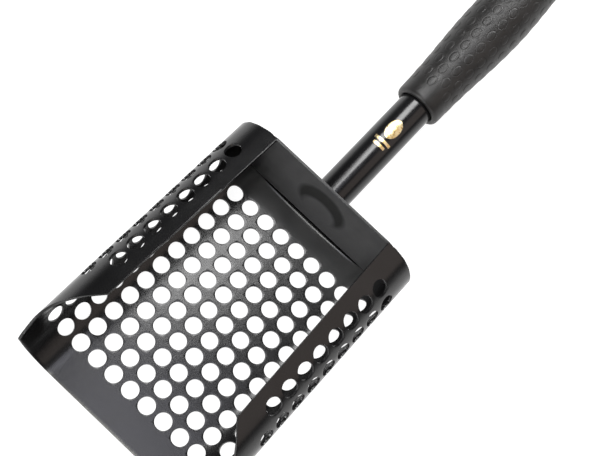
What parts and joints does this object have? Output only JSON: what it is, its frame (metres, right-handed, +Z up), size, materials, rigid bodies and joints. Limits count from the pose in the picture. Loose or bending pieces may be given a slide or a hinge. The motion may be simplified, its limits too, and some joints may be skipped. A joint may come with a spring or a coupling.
{
  "type": "beach sand scoop",
  "caption": "Hand scoop of perforated, painted sheet steel with curled-over sides, a welded rear plate, a tube handle and a rubber grip, for sifting beach sand.",
  "frame": {"origin": "on the ground under the centre of the whole tool's bounding box, with the scoop's flat floor resting on the ground", "axes": "+Z up, +Y from the scoop's mouth to the end of the handle, +X to the right seen from behind the handle"},
  "size_m": [0.1324, 0.3786, 0.0806],
  "materials": {
    "shell_paint": "black satin-gloss powder coat on punched sheet steel",
    "plate_paint": "black satin-gloss powder coat",
    "weld_paint": "black powder coat over a weld bead",
    "tube_paint": "satin black paint",
    "grip_rubber": "matte moulded rubber with a pattern of raised ovals",
    "gold_foil": "thin gold foil"
  },
  "bodies": {
    "root": {"scoop_shell": "shell_paint", "rear_plate": "plate_paint", "rear_seam_weld": "weld_paint", "handle_weld": "weld_paint", "handle_tube": "tube_paint", "grip": "grip_rubber", "foil_oval": "gold_foil", "foil_bar_1": "gold_foil", "foil_bar_2": "gold_foil"}
  },
  "joints": []
}
